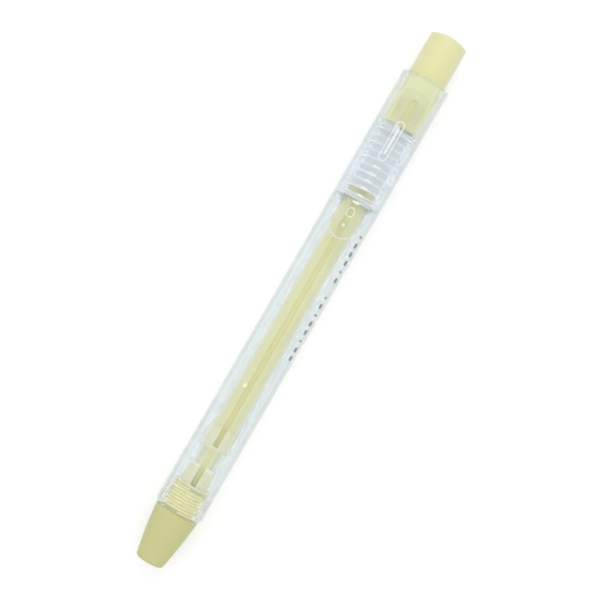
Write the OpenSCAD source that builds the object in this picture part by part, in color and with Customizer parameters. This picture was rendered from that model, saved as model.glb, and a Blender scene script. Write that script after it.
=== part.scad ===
// Pencil eraser stick: a clear pen whose knob steps a thin round eraser out of its nose.
// Every piece is drawn upright on the pen's axis, with z counted from the tip, and lay() then
// lays the pen on the ground: tip to -X, knob to +X, clip on top.

/* [Overall] */
// Length from the tip to the crown of the knob
pen_len = 142; // [138:0.5:165]
// Outer diameter of the barrel
barrel_d = 12; // [11.6:0.1:14]
// Gap all round between two pieces that slide or turn in each other
running_gap = 0.1; // [0.06:0.01:0.12]
// Gap all round between two pieces that are pushed together
push_gap = 0.05; // [0.02:0.01:0.06]

/* [Barrel] */
// Length of the chamfer at the barrel's front end
chamfer_len = 1.3; // [0.6:0.1:2]
// Depth of that chamfer, down to the nose cone's shoulder
chamfer_in = 0.56; // [0.3:0.01:0.8]
// Rounding of the rear rim
rim_round = 0.4; // [0.2:0.05:0.6]
// Bore along the middle of the barrel
mid_bore_d = 8; // [7.6:0.1:8.4]
// Thickness of the ledge that the spring stands on
ledge_t = 0.8; // [0.6:0.1:1.4]

/* [Knob] */
// Diameter of the knob
knob_d = 9.4; // [9:0.1:9.8]
// How far the knob stands out of the barrel
knob_proud = 11.8; // [9:0.1:14]
// Length of the skirt inside the barrel
skirt_len = 12.8; // [11:0.1:15]
// Height of the domed crown
crown_h = 1.2; // [0.6:0.1:1.8]
// Wall of the skirt at its open end
skirt_wall = 0.95; // [0.8:0.05:1.1]
// Depth of the skirt's wide mouth
skirt_mouth = 4.6; // [3:0.1:5.4]
// Width of the groove in the skirt
skirt_groove_w = 1.4; // [0.8:0.1:2]
// Length of the groove in the skirt
skirt_groove_len = 6.8; // [4:0.1:9]
// Depth of the groove in the skirt
skirt_groove_deep = 0.5; // [0.3:0.05:0.6]
// How far the knob travels when it is pressed
press_travel = 4; // [3:0.1:4.3]

/* [Spring] */
// Length of the spring as fitted
spring_len = 20.3; // [19:0.1:24]
// Outer diameter of the spring
spring_d = 8.8; // [8.4:0.1:8.8]
// Diameter of the wire
wire_d = 0.6; // [0.5:0.05:0.6]
// Number of turns
spring_turns = 13; // [10:1:13]
// Closer turns at each end
end_turns = 2; // [1:1:2]
// Pitch of the closer turns
end_pitch = 1.05; // [1.05:0.05:1.2]

/* [Push tube] */
// Diameter of the push tube
push_tube_d = 6; // [5.6:0.1:6.2]
// Bore of the push tube
push_bore_d = 2.4; // [1.6:0.1:2.8]
// Length of the push tube that is held in the knob
push_seat_len = 8.2; // [6:0.1:9]
// Length of the push tube that is held in the holder tube
push_spigot_len = 6; // [4:0.1:7]

/* [Holder tube] */
// Outer diameter of the holder tube
holder_d = 6; // [5.8:0.1:6.2]
// Gap all round between the eraser and the holder tube
holder_play = 0.2; // [0.15:0.01:0.25]
// How far the holder tube stands above the spring ledge
holder_over_ledge = 3.4; // [2:0.1:4]
// Width of the groove along the holder tube
holder_groove_w = 1.3; // [0.8:0.1:1.8]
// Depth of the groove along the holder tube
holder_groove_deep = 0.5; // [0.3:0.05:0.5]
// Length of the holder tube that is held in the collet
holder_seat_len = 4.7; // [3:0.1:5]

/* [Eraser] */
// Diameter of the eraser
eraser_d = 3.8; // [3.6:0.05:3.9]
// Free length left in the holder tube behind the eraser
eraser_spare = 6.1; // [1:0.1:40]
// How far the eraser's end lies inside the mouth
eraser_recess = 0.4; // [0.2:0.1:1]
// Bevel at the eraser's ends
eraser_bevel = 0.25; // [0.1:0.05:0.4]

/* [Collet] */
// Gap left between the pressed jaws and the tip's wall
jaw_clear = 0.4; // [0.3:0.1:0.8]
// Diameter of the jaws' head
jaw_d = 5.7; // [5.6:0.02:5.76]
// Length of the head's straight part
jaw_flat = 0.6; // [0.4:0.1:0.8]
// Length of the head's cone, which the ring bears on
jaw_cone = 0.9; // [0.7:0.1:1.2]
// Diameter of the collet's shank
shank_d = 5.14; // [5.06:0.02:5.2]
// Gap all round between the closed jaws and the eraser
jaw_gap = 0.03; // [0.02:0.01:0.05]
// Length over which the jaws grip
grip_len = 3; // [2:0.1:4]
// Width of the slits between the jaws
slit_w = 0.6; // [0.3:0.05:0.7]
// Gap left between the pressed collet's wide rear and the sleeve
collet_clear = 0.5; // [0.4:0.1:1.5]
// Diameter of the wide rear of the collet
collet_d = 7; // [6.8:0.1:7.2]
// Thickness of the shoulder inside the collet
collet_shoulder = 0.8; // [0.6:0.1:1]
// Width of the slots in the collet's wide rear and in the rear of the sleeve
slot_w = 1.3; // [0.8:0.1:1.6]

/* [Chuck] */
// Length of the chuck ring
ring_len = 2.5; // [2:0.1:2.6]
// Outer diameter of the chuck ring
ring_d = 6.5; // [6.46:0.02:6.56]
// How far the ring moves with the jaws, which is one step of the eraser
ring_travel = 1; // [0.6:0.1:1]
// Outer diameter of the sleeve inside the nose cone
sleeve_d = 6.6; // [6.5:0.02:6.6]
// Outer diameter of the sleeve behind its flange
sleeve_rear_d = 6.9; // [6.6:0.1:7.2]
// Distance from the tip to the sleeve's rear edge
sleeve_rear_z = 26.1; // [24:0.1:26.2]
// Thickness of the sleeve's flange
flange_t = 0.6; // [0.5:0.05:0.9]

/* [Nose cone] */
// Length of the nose cone in front of the barrel
nose_len = 13.3; // [13:0.1:14]
// Diameter of the flat at the tip
tip_flat_d = 5.3; // [5.1:0.05:5.5]
// Rounding round the tip
tip_round = 0.95; // [0.8:0.05:1]
// Bulge of the cone's side over a straight cone
nose_bulge = 0.2; // [0.1:0.01:0.3]
// Gap all round between the eraser and the mouth
mouth_gap = 0.15; // [0.12:0.01:0.2]
// Thickness of the tip in front of the jaws' chamber
tip_wall = 2.2; // [1.8:0.1:2.3]
// Diameter of the chamber that the jaws move in
chamber_d = 6; // [5.94:0.02:6.04]
// Length of the threaded spigot
spigot_len = 7; // [7:0.1:7.4]
// Outer diameter of the thread
thread_d = 9; // [8.8:0.05:9.1]
// Pitch of the thread
thread_pitch = 0.8; // [0.7:0.05:0.8]
// Depth of the thread
thread_deep = 0.35; // [0.25:0.05:0.4]
// Number of thread crests
thread_crests = 8; // [6:1:8]

/* [Clip] */
// Width of the clip
clip_w = 6.6; // [5.6:0.1:7.4]
// Distance from the barrel's rim to the clip's rear
clip_rear_gap = 4.2; // [3:0.1:6]
// Length of the clip
clip_len = 38.6; // [32:0.1:44]
// Length of the clip's foot
foot_len = 6.5; // [5:0.1:8]
// Gap under the clip's arm
clip_gap = 1.2; // [0.9:0.05:1.5]
// Thickness of the clip's arm along its crown
clip_t = 1.3; // [1:0.05:1.6]
// Rounding of the foot's rear corners
foot_round = 1.2; // [0.6:0.1:2]
// Diameter of the ball under the arm
ball_d = 2; // [1.8:0.1:2.4]
// Distance from the arm's free end to the ball
ball_in = 3.6; // [3:0.1:5]

/* [Hidden] */
$fn = 96;
// Reach past a face that a cut goes through
past = 1;
barrel_r = barrel_d / 2;
rim_z = pen_len - knob_proud;
skirt_z = rim_z - skirt_len;
seat_z = skirt_z - spring_len;
bore_r = knob_d / 2 + running_gap;
socket_r = thread_d / 2 + running_gap;
spigot_z = nose_len + spigot_len;
flange_z = spigot_z + push_gap;
socket_z = flange_z + flange_t + push_gap;
ledge_bore_r = holder_d / 2 + 3 * running_gap;
nose_r = barrel_r - chamfer_in;
// Jaws, ring and sleeve, one behind the other
jaw_z = tip_wall + press_travel + jaw_clear;
collet_step_z = sleeve_rear_z + press_travel + collet_clear;
jaw_cone_z = jaw_z + jaw_flat + jaw_flat;
cone_end_z = jaw_cone_z + jaw_cone;
ring_bore_r = shank_d / 2 + push_gap;
ring_z = cone_end_z - push_gap;
step_z = ring_z - ring_travel;
sleeve_z = ring_z + ring_len + push_gap;
sleeve_bore_r = shank_d / 2 + running_gap;
spigot_bore_r = sleeve_d / 2 + running_gap;
eraser_r = eraser_d / 2;
holder_bore_r = eraser_r + holder_play;
holder_z = collet_step_z + collet_shoulder;
collet_end_z = holder_z + holder_seat_len;
holder_end_z = seat_z + holder_over_ledge;
push_end_z = skirt_z + skirt_mouth + push_seat_len;
push_start_z = holder_end_z - push_spigot_len;
eraser_end_z = push_start_z - eraser_spare;
// Core of the knob above the push tube, which leaves an even wall under the crown
knob_core_r = push_tube_d / 2 - 1;
knob_core_z = pen_len - 3;
clip_rear_z = rim_z - clip_rear_gap;
clip_front_z = clip_rear_z - clip_len;
foot_z = clip_rear_z - foot_len;
clip_in_r = barrel_r + clip_gap;
clip_out_r = clip_in_r + clip_t;

// Lays the upright pen on the ground, its clip side up and the middle of its length over the origin
module lay() translate([-pen_len / 2, 0, barrel_r]) rotate([90, 0, 90]) children();

// Points of an arc about a centre, from angle a to angle b in n steps
function arc(centre, r, a, b, n) =
    [for (i = [0:n]) let (t = a + (b - a) * i / n) centre + r * [cos(t), sin(t)]];

// A round bore of radius r from z0 to z1
module bore(r, z0, z1) translate([0, 0, z0]) cylinder(r = r, h = z1 - z0);

// A groove along the clip side of a round piece, cut from radius r inward
module groove(r, w, deep, z0, z1) translate([-w / 2, r - deep, z0]) cube([w, deep + past, z1 - z0]);

// A slot through the clip side of a tube of radius r
module slot(r, z0, z1) groove(r, slot_w, r, z0, z1);

module barrel_skin() rotate_extrude() polygon(concat(
    [[0, nose_len], [nose_r, nose_len], [barrel_r, nose_len + chamfer_len]],
    arc([barrel_r - rim_round, rim_z - rim_round], rim_round, 0, 90, 4),
    [[0, rim_z]]));

module barrel() lay() color("aliceblue", 0.4) difference() {
    barrel_skin();
    bore(socket_r, nose_len - past, socket_z);
    bore(mid_bore_d / 2, socket_z - past, seat_z - ledge_t);
    bore(ledge_bore_r, seat_z - ledge_t - past, seat_z + past);
    bore(bore_r, seat_z, rim_z + past);
}

// The clip's outline seen from above, x across the pen and y along it
module clip_outline() {
    translate([0, clip_front_z + clip_w / 2]) circle(d = clip_w);
    translate([-clip_w / 2, clip_front_z + clip_w / 2])
        square([clip_w, clip_len - clip_w / 2 - foot_round]);
    for (side = [-1, 1])
        translate([side * (clip_w / 2 - foot_round), clip_rear_z - foot_round]) circle(r = foot_round);
    translate([foot_round - clip_w / 2, clip_rear_z - 2 * foot_round])
        square([clip_w - 2 * foot_round, 2 * foot_round]);
}

module clip_prism() rotate([90, 0, 0]) translate([0, 0, -clip_out_r - past])
    linear_extrude(clip_out_r + past) clip_outline();

module clip() lay() color("aliceblue", 0.5) union() {
    intersection() {
        clip_prism();
        difference() {
            bore(clip_out_r, clip_front_z - past, clip_rear_z + past);
            translate([-clip_w, -clip_out_r, clip_front_z - 2 * past])
                cube([2 * clip_w, clip_out_r + clip_in_r, clip_len + 2 * past - foot_len]);
            bore(barrel_r + push_gap, foot_z - past, clip_rear_z + 2 * past);
        }
    }
    translate([0, barrel_r + push_gap + ball_d / 2, clip_front_z + ball_in]) sphere(d = ball_d);
}

module knob_skin() {
    crown_r = (knob_d * knob_d / 4 + crown_h * crown_h) / (2 * crown_h);
    half_angle = asin(knob_d / 2 / crown_r);
    rotate_extrude() polygon(concat(
        [[0, skirt_z], [knob_d / 2, skirt_z]],
        arc([0, pen_len - crown_r], crown_r, 90 - half_angle, 90, 6)));
}

module knob() lay() color("khaki") difference() {
    knob_skin();
    bore(knob_d / 2 - skirt_wall, skirt_z - past, skirt_z + skirt_mouth);
    bore(push_tube_d / 2 + push_gap, skirt_z, push_end_z + push_gap);
    bore(knob_core_r, push_end_z, knob_core_z);
    groove(knob_d / 2, skirt_groove_w, skirt_groove_deep, skirt_z - past, skirt_z + skirt_groove_len);
}

module push_tube() lay() color("whitesmoke") difference() {
    union() {
        bore(push_tube_d / 2, holder_end_z, push_end_z);
        bore(holder_bore_r - push_gap, push_start_z, holder_end_z + past);
    }
    bore(push_bore_d / 2, push_start_z - past, push_end_z + past);
}

module holder_tube() lay() color("khaki") difference() {
    bore(holder_d / 2, holder_z, holder_end_z);
    bore(holder_bore_r, holder_z - past, holder_end_z + past);
    groove(holder_d / 2, holder_groove_w, holder_groove_deep, holder_z - past, holder_end_z + past);
}

module collet_skin() rotate_extrude() polygon([
    [0, jaw_z], [jaw_d / 2 - jaw_flat / 2, jaw_z], [jaw_d / 2, jaw_z + jaw_flat],
    [jaw_d / 2, jaw_cone_z], [shank_d / 2, cone_end_z], [shank_d / 2, collet_step_z],
    [collet_d / 2, collet_step_z], [collet_d / 2, collet_end_z], [0, collet_end_z]]);

module collet() lay() color("ivory") difference() {
    collet_skin();
    bore(eraser_r + jaw_gap, jaw_z - past, jaw_z + grip_len + past);
    bore(holder_bore_r, jaw_z + grip_len, holder_z);
    bore(holder_d / 2 + push_gap, holder_z - push_gap, collet_end_z + past);
    for (turn = [45, 135])
        rotate(turn) translate([-collet_d / 2, -slit_w / 2, jaw_z - past])
            cube([collet_d, slit_w, collet_step_z - push_gap - jaw_z]);
    slot(collet_d / 2, holder_z, collet_end_z + past);
}

module chuck_ring() lay() color("goldenrod") difference() {
    bore(ring_d / 2, ring_z, ring_z + ring_len);
    bore(ring_bore_r, ring_z - past, ring_z + ring_len + past);
}

module chuck_sleeve() lay() color("ivory") difference() {
    union() {
        bore(sleeve_d / 2, sleeve_z, flange_z + flange_t);
        bore(thread_d / 2, flange_z, flange_z + flange_t);
        bore(sleeve_rear_d / 2, flange_z, sleeve_rear_z);
    }
    bore(sleeve_bore_r, sleeve_z - past, sleeve_rear_z + past);
    slot(sleeve_rear_d / 2, flange_z + flange_t, sleeve_rear_z + past);
}

// Side of the nose cone from the tip's rounding to the shoulder: an arc with the given bulge
function nose_side() = let (
        a = [tip_flat_d / 2 + tip_round, tip_round],
        b = [nose_r, nose_len],
        half = norm(b - a) / 2,
        r = (half * half + nose_bulge * nose_bulge) / (2 * nose_bulge),
        along = (b - a) / (2 * half),
        centre = (a + b) / 2 + (r - nose_bulge) * [-along[1], along[0]],
        start = atan2(a[1] - centre[1], a[0] - centre[0]),
        end = atan2(b[1] - centre[1], b[0] - centre[0])
    ) arc(centre, r, start, end, 8);

// Crests of the thread as rings, from the spigot's end down to the shoulder
function thread_side() = [for (i = [0:thread_crests - 1], point = [
        [thread_d / 2, spigot_z - (i + 0.5) * thread_pitch],
        [thread_d / 2 - thread_deep, spigot_z - (i + 1) * thread_pitch]]) point];

module nose_cone() lay() color("khaki") difference() {
    rotate_extrude() polygon(concat(
        [[0, 0]],
        arc([tip_flat_d / 2, tip_round], tip_round, -90, 0, 4),
        nose_side(),
        [[thread_d / 2 - thread_deep, nose_len]],
        [for (i = [1:2 * thread_crests]) thread_side()[2 * thread_crests - i]],
        [[thread_d / 2 - thread_deep, spigot_z], [0, spigot_z]]));
    bore(eraser_r + mouth_gap, -past, tip_wall + past);
    bore(chamber_d / 2, tip_wall, step_z + past);
    bore(spigot_bore_r, step_z, spigot_z + past);
}

module eraser() lay() color("white") rotate_extrude() polygon([
    [0, eraser_recess], [eraser_r - eraser_bevel, eraser_recess],
    [eraser_r, eraser_recess + eraser_bevel],
    [eraser_r, eraser_end_z - eraser_bevel],
    [eraser_r - eraser_bevel, eraser_end_z], [0, eraser_end_z]]);

// The spring's centre line, as [way round in turns, height], with 8 points a turn.
// Each end bends out of the turn and stands straight on its seat for one wire diameter.
turn_points = 8;
wire_sides = 6;
spring_r = (spring_d - wire_d) / 2;
bend_r = wire_d;
bend_turn = bend_r / (2 * PI * spring_r);
end_rise = push_gap + wire_d + bend_r;
coil_h = spring_len - 2 * end_rise;
open_pitch = (coil_h - 2 * end_turns * end_pitch) / (spring_turns - 2 * end_turns);
function coil_rise(t) = end_pitch * min(t, end_turns)
    + open_pitch * max(0, min(t, spring_turns - end_turns) - end_turns)
    + end_pitch * max(0, t - spring_turns + end_turns);
function lower_end() = concat([[-bend_turn, push_gap]],
    [for (a = [0:30:60]) [-bend_turn * cos(a), push_gap + wire_d + bend_r * sin(a)]]);
function spring_line() = concat(
    lower_end(),
    [for (i = [0:turn_points * spring_turns])
        [i / turn_points, end_rise + coil_rise(i / turn_points)]],
    [for (i = [1:4]) let (p = lower_end()[4 - i]) [spring_turns - p[0], spring_len - p[1]]]);
function on_coil(p) = [spring_r * cos(360 * p[0]), spring_r * sin(360 * p[0]), seat_z + p[1]];
function unit(v) = v / norm(v);
function ring_about(p, along) = let (
        out = unit([p[0], p[1], 0]),
        flat_out = unit(out - (out * along) * along),
        up = cross(along, flat_out)
    ) [for (k = [0:wire_sides - 1]) let (a = 360 * k / wire_sides)
        p + wire_d / 2 * (cos(a) * flat_out + sin(a) * up)];

module spring() lay() color("silver") {
    line = [for (p = spring_line()) on_coil(p)];
    last = len(line) - 1;
    rings = [for (i = [0:last])
        ring_about(line[i], unit(line[min(i + 1, last)] - line[max(i - 1, 0)]))];
    apart = min([for (i = [0:last - turn_points / 2], j = [i + turn_points / 2:last])
        norm(line[i] - line[j])]);
    echo(str("least gap between the spring's turns ", apart - wire_d, " mm"));
    polyhedron(
        points = [for (ring = rings) each ring],
        faces = concat(
            [[for (k = [0:wire_sides - 1]) k]],
            [for (i = [0:last - 1], k = [0:wire_sides - 1], half = [0, 1])
                let (a = i * wire_sides + k, b = i * wire_sides + (k + 1) % wire_sides)
                half == 0 ? [a, a + wire_sides, b + wire_sides] : [a, b + wire_sides, b]],
            [[for (k = [0:wire_sides - 1]) last * wire_sides + wire_sides - 1 - k]]));
}

barrel();
clip();
knob();
push_tube();
spring();
holder_tube();
collet();
chuck_ring();
chuck_sleeve();
nose_cone();
eraser();
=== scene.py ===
import math

import bpy
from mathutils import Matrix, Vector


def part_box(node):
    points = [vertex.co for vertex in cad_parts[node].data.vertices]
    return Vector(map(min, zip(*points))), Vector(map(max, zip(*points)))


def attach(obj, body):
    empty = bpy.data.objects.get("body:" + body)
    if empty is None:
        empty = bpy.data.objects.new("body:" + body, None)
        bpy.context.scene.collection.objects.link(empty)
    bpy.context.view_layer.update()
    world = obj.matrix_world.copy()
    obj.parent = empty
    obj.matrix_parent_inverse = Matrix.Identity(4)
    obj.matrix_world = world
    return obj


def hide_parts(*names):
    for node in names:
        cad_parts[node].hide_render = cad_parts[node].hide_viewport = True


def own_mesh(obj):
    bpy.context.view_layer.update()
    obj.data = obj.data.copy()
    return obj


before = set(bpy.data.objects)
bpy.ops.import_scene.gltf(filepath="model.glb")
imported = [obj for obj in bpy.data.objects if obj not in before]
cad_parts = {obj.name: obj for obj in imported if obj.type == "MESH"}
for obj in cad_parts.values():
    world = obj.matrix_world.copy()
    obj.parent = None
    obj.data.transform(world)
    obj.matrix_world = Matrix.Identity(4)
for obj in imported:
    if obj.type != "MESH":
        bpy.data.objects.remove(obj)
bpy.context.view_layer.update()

# Lengths of the pen's pieces are in millimetres. z is the distance from the tip along the pen, r
# the distance from the pen's axis, y goes across the pen and up is the height over the axis.
MM = 0.001
HALF_LEN = round(-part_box("nose_cone")[0].x / MM, 2)
SIDES = 96


def ends(node):
    """Where a CAD node begins and ends along the pen, to a hundredth of a millimetre."""
    return [round(corner.x / MM + HALF_LEN, 2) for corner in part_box(node)]


# Barrel, on which the pen lies
NOSE_Z, RIM_Z = ends("barrel")
BARREL_R = 6.0
AXIS_UP = BARREL_R
CHAMFER = 1.3
SHOULDER_R = 5.44
SOCKET_R = 4.6
SOCKET_Z = 21.0
MID_BORE_R = 4.0
LEDGE_Z = 96.3
SEAT_Z = 97.1
LEDGE_BORE_R = 3.3
BORE_R = 4.8
RIM_ROUND = 0.4
# The ledge's face slopes: it rises at the bore and drops at the hole
LEDGE_RISE = 0.35
LEDGE_DROP = 0.55
# The ledge's sides get painted shade beyond this distance across the pen
LEDGE_SEEN_Y = 2.9
# Gate mark, a dimple cut by a ball
GATE_Z = 47.6
GATE_Y = 1.36
GATE_UP = 6.46
GATE_R = 0.9
# Knob
SKIRT_Z, PEN_LEN = ends("knob")
KNOB_R = 4.7
CROWN_H = 1.2
SKIRT_BORE_R = 3.75
SKIRT_MOUTH_Z = 122.0
SKIRT_LINE = 0.6
KNOB_CORE_Z = 139.0
KNOB_CORE_R = 2.0
KNOB_GROOVE_Z = 124.2
KNOB_GROOVE_HALF_W = 0.7
KNOB_GROOVE_UP = 4.2
# Push tube and holder tube
PUSH_Z, PUSH_END_Z = ends("push_tube")
PUSH_R = 3.0
PUSH_SPIGOT_R = 2.05
PUSH_BORE_R = 1.2
SOCKET_FIT = 0.05
HOLDER_Z, HOLDER_END_Z = ends("holder_tube")
HOLDER_R = 3.0
HOLDER_BORE_R = 2.1
GROOVE_HALF_W = 0.65
GROOVE_UP = 2.5
# Collet
JAW_Z, HEAD_END_Z = ends("collet")
JAW_TIP_R = 2.55
JAW_CONE_Z = 7.2
JAW_CONE_END_Z = 7.8
JAW_CONE_R = 2.85
JAW_BITE_END_Z = 9.6
JAW_BITE_R = 1.93
SHANK_Z = 8.7
SHANK_R = 2.57
HEAD_Z = 30.6
HEAD_R = 3.5
SLIT_END_Z = 30.55
SLIT_HALF_W = 0.12
SLIT_TURNS = (45, 135)
COLLET_GROOVE_Z = 19.0
COLLET_GROOVE_END_Z = 30.3
COLLET_GROOVE_UP = 2.45
# Chuck ring and chuck sleeve
RING_Z, RING_END_Z = ends("chuck_ring")
RING_R = 3.25
RING_BORE_R = 2.62
SLEEVE_Z, SLEEVE_END_Z = ends("chuck_sleeve")
SLEEVE_R = 3.3
FLANGE_Z = 20.35
FLANGE_END_Z = 20.95
FLANGE_R = 4.5
SLEEVE_REAR_R = 3.45
SLEEVE_RIM_Z = 25.5
SLEEVE_SLOT_END_Z = 27.0
SLEEVE_BORE_R = 2.67
# Nose cone
TIP_ROUND = 0.95
TIP_FLAT_R = 2.65
TIP_WALL = 2.2
MOUTH_R = 2.05
NOSE_BORE_R = 3.0
STEP_Z = 7.6
SPIGOT_Z = ends("nose_cone")[1]
SPIGOT_BORE_R = 3.4
THREAD_ROOT_R = 4.15
BULGE = 0.2
# The thread's ridge: how far behind the cone it starts, how long its flanks and its crest are
# along the pen, and how far its feet stand over the root and go under it. It is wound slightly
# closer than the real thread, so that its last turn ends on the spigot.
THREAD_R = 4.5
RIDGE_PITCH = 0.77
RIDGE_TURNS = 8
RIDGE_START = 0.15
RIDGE_FLANK = 0.27
RIDGE_CREST = 0.12
RIDGE_FOOT = 0.02
RIDGE_SUNK = 0.08
# Eraser
ERASER_Z, ERASER_END_Z = ends("eraser")
ERASER_R = 1.9
# Spring
WIRE_R = 0.3
WIRE_SIDES = 14
SPRING_R = 4.1
SPRING_LEN = SKIRT_Z - SEAT_Z
END_TURNS = 2
END_PITCH = 0.68
OPEN_TURNS = 9
OPEN_PITCH = (SPRING_LEN - 2 * WIRE_R - 2 * END_TURNS * END_PITCH) / OPEN_TURNS
# Clip
CLIP_FRONT_Z, CLIP_REAR_Z = ends("clip")
CLIP_HALF_W = 3.3
CLIP_UNDER = 7.2
CLIP_TOP = 8.5
CLIP_CORNER = 1.2
FOOT_Z = 119.5
FOOT_UNDER = 6.05
CLIP_END_Z = CLIP_FRONT_Z + CLIP_HALF_W
CLIP_END_EDGE_Z = 91.5
CLIP_END_UP = 7.6
CLIP_END_DEPTH = 3.2
CLIP_END_SLOPE = 1.0
CLIP_END_SHRINK = 0.86
BALL_Z = 91.0
BALL_BEHIND_Z = 93.0
BALL_UP = 7.05
BALL_R = 1.0
# Cutting tools and blanks reach past what they shape
OVERCUT = 1.0
GROOVE_TOOL_UP = 4.0
CLIP_BLANK_UNDER = 4.5
CLIP_TOOL_Z = 80.0
CLIP_TOOL_END_Z = 135.0
CLIP_TOOL_HALF_W = 5.0
SADDLE_Z = 110.0


def at(z, y=0.0, up=0.0):
    """The point in metres at distance z from the tip, y across the pen and up over its axis."""
    return ((z - HALF_LEN) * MM, y * MM, (AXIS_UP + up) * MM)


# Working with meshes


def pick(piece):
    """Leaves piece alone selected and active."""
    bpy.ops.object.select_all(action="DESELECT")
    piece.select_set(True)
    bpy.context.view_layer.objects.active = piece


def added(name):
    """Names the primitive that was just added and puts its place into its mesh."""
    piece = bpy.context.active_object
    piece.name = piece.data.name = name
    pick(piece)
    bpy.ops.object.transform_apply(location=True, rotation=True, scale=True)
    return piece


def apply(piece, kind, **values):
    """Adds a modifier of that kind, sets it and applies it."""
    pick(piece)
    modifier = piece.modifiers.new(kind.lower(), kind)
    for key, value in values.items():
        setattr(modifier, key, value)
    bpy.ops.object.modifier_apply(modifier=modifier.name)
    return piece


def traced(name, outline):
    """A line of edges through the (z, r) points, drawn straight over the pen's axis."""
    bpy.ops.object.select_all(action="DESELECT")
    bpy.ops.mesh.primitive_plane_add(size=MM, location=at(outline[0][0], 0, outline[0][1]))
    piece = added(name)
    bpy.ops.object.mode_set(mode="EDIT")
    bpy.ops.mesh.select_mode(type="VERT")
    bpy.ops.mesh.select_all(action="SELECT")
    bpy.ops.mesh.merge(type="CENTER")
    for (z0, r0), (z1, r1) in zip(outline, outline[1:]):
        step = ((z1 - z0) * MM, 0, (r1 - r0) * MM)
        bpy.ops.mesh.extrude_region_move(TRANSFORM_OT_translate={"value": step})
    bpy.ops.object.mode_set(mode="OBJECT")
    return piece


def mended(piece):
    """Merges what lies on one place and turns the faces outwards."""
    pick(piece)
    bpy.ops.object.mode_set(mode="EDIT")
    bpy.ops.mesh.select_all(action="SELECT")
    bpy.ops.mesh.remove_doubles(threshold=1e-7)
    bpy.ops.mesh.normals_make_consistent(inside=False)
    bpy.ops.object.mode_set(mode="OBJECT")
    return piece


def turned(name, outline, sides=SIDES):
    """Turns an outline round the pen's axis, as on a lathe."""
    piece = traced(name, outline)
    bpy.ops.object.mode_set(mode="EDIT")
    bpy.ops.mesh.select_all(action="SELECT")
    bpy.ops.mesh.spin(steps=sides, angle=math.tau, center=at(0), axis=(1, 0, 0))
    bpy.ops.object.mode_set(mode="OBJECT")
    return mended(piece)


def rod(name, z0, z1, r, sides=SIDES):
    """A round bar on the pen's axis."""
    return turned(name, [(z0, 0), (z0, r), (z1, r), (z1, 0)], sides)


def tube(name, z0, z1, bore_r, r, sides=SIDES):
    """A plain tube on the pen's axis."""
    return turned(name, [(z0, bore_r), (z0, r), (z1, r), (z1, bore_r), (z0, bore_r)], sides)


def block(name, z0, z1, y0, y1, up0, up1):
    """A block between those bounds, to be shaped or to cut with."""
    bpy.ops.object.select_all(action="DESELECT")
    bpy.ops.mesh.primitive_cube_add(
        size=1,
        location=at((z0 + z1) / 2, (y0 + y1) / 2, (up0 + up1) / 2),
        scale=((z1 - z0) * MM, (y1 - y0) * MM, (up1 - up0) * MM),
    )
    return added(name)


def combined(piece, other, operation):
    """Joins other to piece, cuts it out or keeps what both share, and clears other away."""
    apply(piece, "BOOLEAN", object=other, operation=operation, solver="EXACT")
    bpy.data.objects.remove(other)
    return piece


def softened(piece, width, segments=2, angle=40):
    """Rounds the edges that turn by more than the angle."""
    return apply(
        piece,
        "BEVEL",
        width=width * MM,
        segments=segments,
        limit_method="ANGLE",
        angle_limit=math.radians(angle),
        harden_normals=False,
    )


def smooth(piece, angle=38):
    """Shades the piece smooth between edges that turn by less than the angle."""
    pick(piece)
    bpy.ops.object.shade_smooth_by_angle(angle=math.radians(angle))
    return piece


def arc(z, r, radius, start, end, steps):
    """Outline points of an arc about (z, r), its angles in degrees from the knob's direction."""
    angles = [math.radians(start + (end - start) * i / steps) for i in range(steps + 1)]
    return [(z + radius * math.cos(a), r + radius * math.sin(a)) for a in angles]


def edges_chosen(piece, test):
    """In edit mode, selects the edges whose two ends pass the test."""
    bpy.ops.mesh.select_mode(type="EDGE")
    bpy.ops.mesh.select_all(action="DESELECT")
    bpy.ops.object.mode_set(mode="OBJECT")
    mesh = piece.data
    for edge in mesh.edges:
        a, b = (mesh.vertices[i].co for i in edge.vertices)
        edge.select = test(a, b)
    bpy.ops.object.mode_set(mode="EDIT")


# Camera, straight above, the pen's knob to the upper right, with lengths in metres

TURN = math.radians(-59.97)
CAMERA_HEIGHT = 0.46
VIEW_WIDTH = 0.14078
OFF_RIGHT = -0.000006
OFF_UP = -0.000097

camera_data = bpy.data.cameras.new("camera")
camera = bpy.data.objects.new("camera", camera_data)
bpy.context.scene.collection.objects.link(camera)
camera_data.sensor_width = 36.0
camera_data.lens = 36.0 * CAMERA_HEIGHT / VIEW_WIDTH
camera_data.clip_start = 0.01
camera_data.clip_end = 20.0
camera.location = (
    OFF_RIGHT * math.cos(TURN) - OFF_UP * math.sin(TURN),
    OFF_RIGHT * math.sin(TURN) + OFF_UP * math.cos(TURN),
    AXIS_UP * MM + CAMERA_HEIGHT,
)
camera.rotation_euler = (0, 0, TURN)
bpy.context.scene.camera = camera
bpy.context.scene.view_settings.view_transform = "Standard"


# Shader groups and materials


def group_start(name, inputs, outputs):
    """A node group with those sockets, and its input and output nodes."""
    group = bpy.data.node_groups.new(name, "ShaderNodeTree")
    for label, kind, value in inputs:
        socket = group.interface.new_socket(label, in_out="INPUT", socket_type=kind)
        socket.default_value = value
    for label, kind in outputs:
        group.interface.new_socket(label, in_out="OUTPUT", socket_type=kind)
    return group, group.nodes.new("NodeGroupInput"), group.nodes.new("NodeGroupOutput")


def noise(group, coords, scale, detail=2.0, stretch=None):
    """A noise texture on object coordinates, drawn out along the pen if stretch is given."""
    place = coords
    if stretch:
        mapping = group.nodes.new("ShaderNodeMapping")
        mapping.inputs["Scale"].default_value = stretch
        group.links.new(coords, mapping.inputs["Vector"])
        place = mapping.outputs["Vector"]
    node = group.nodes.new("ShaderNodeTexNoise")
    node.inputs["Scale"].default_value = scale
    node.inputs["Detail"].default_value = detail
    group.links.new(place, node.inputs["Vector"])
    return node.outputs["Fac"]


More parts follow.
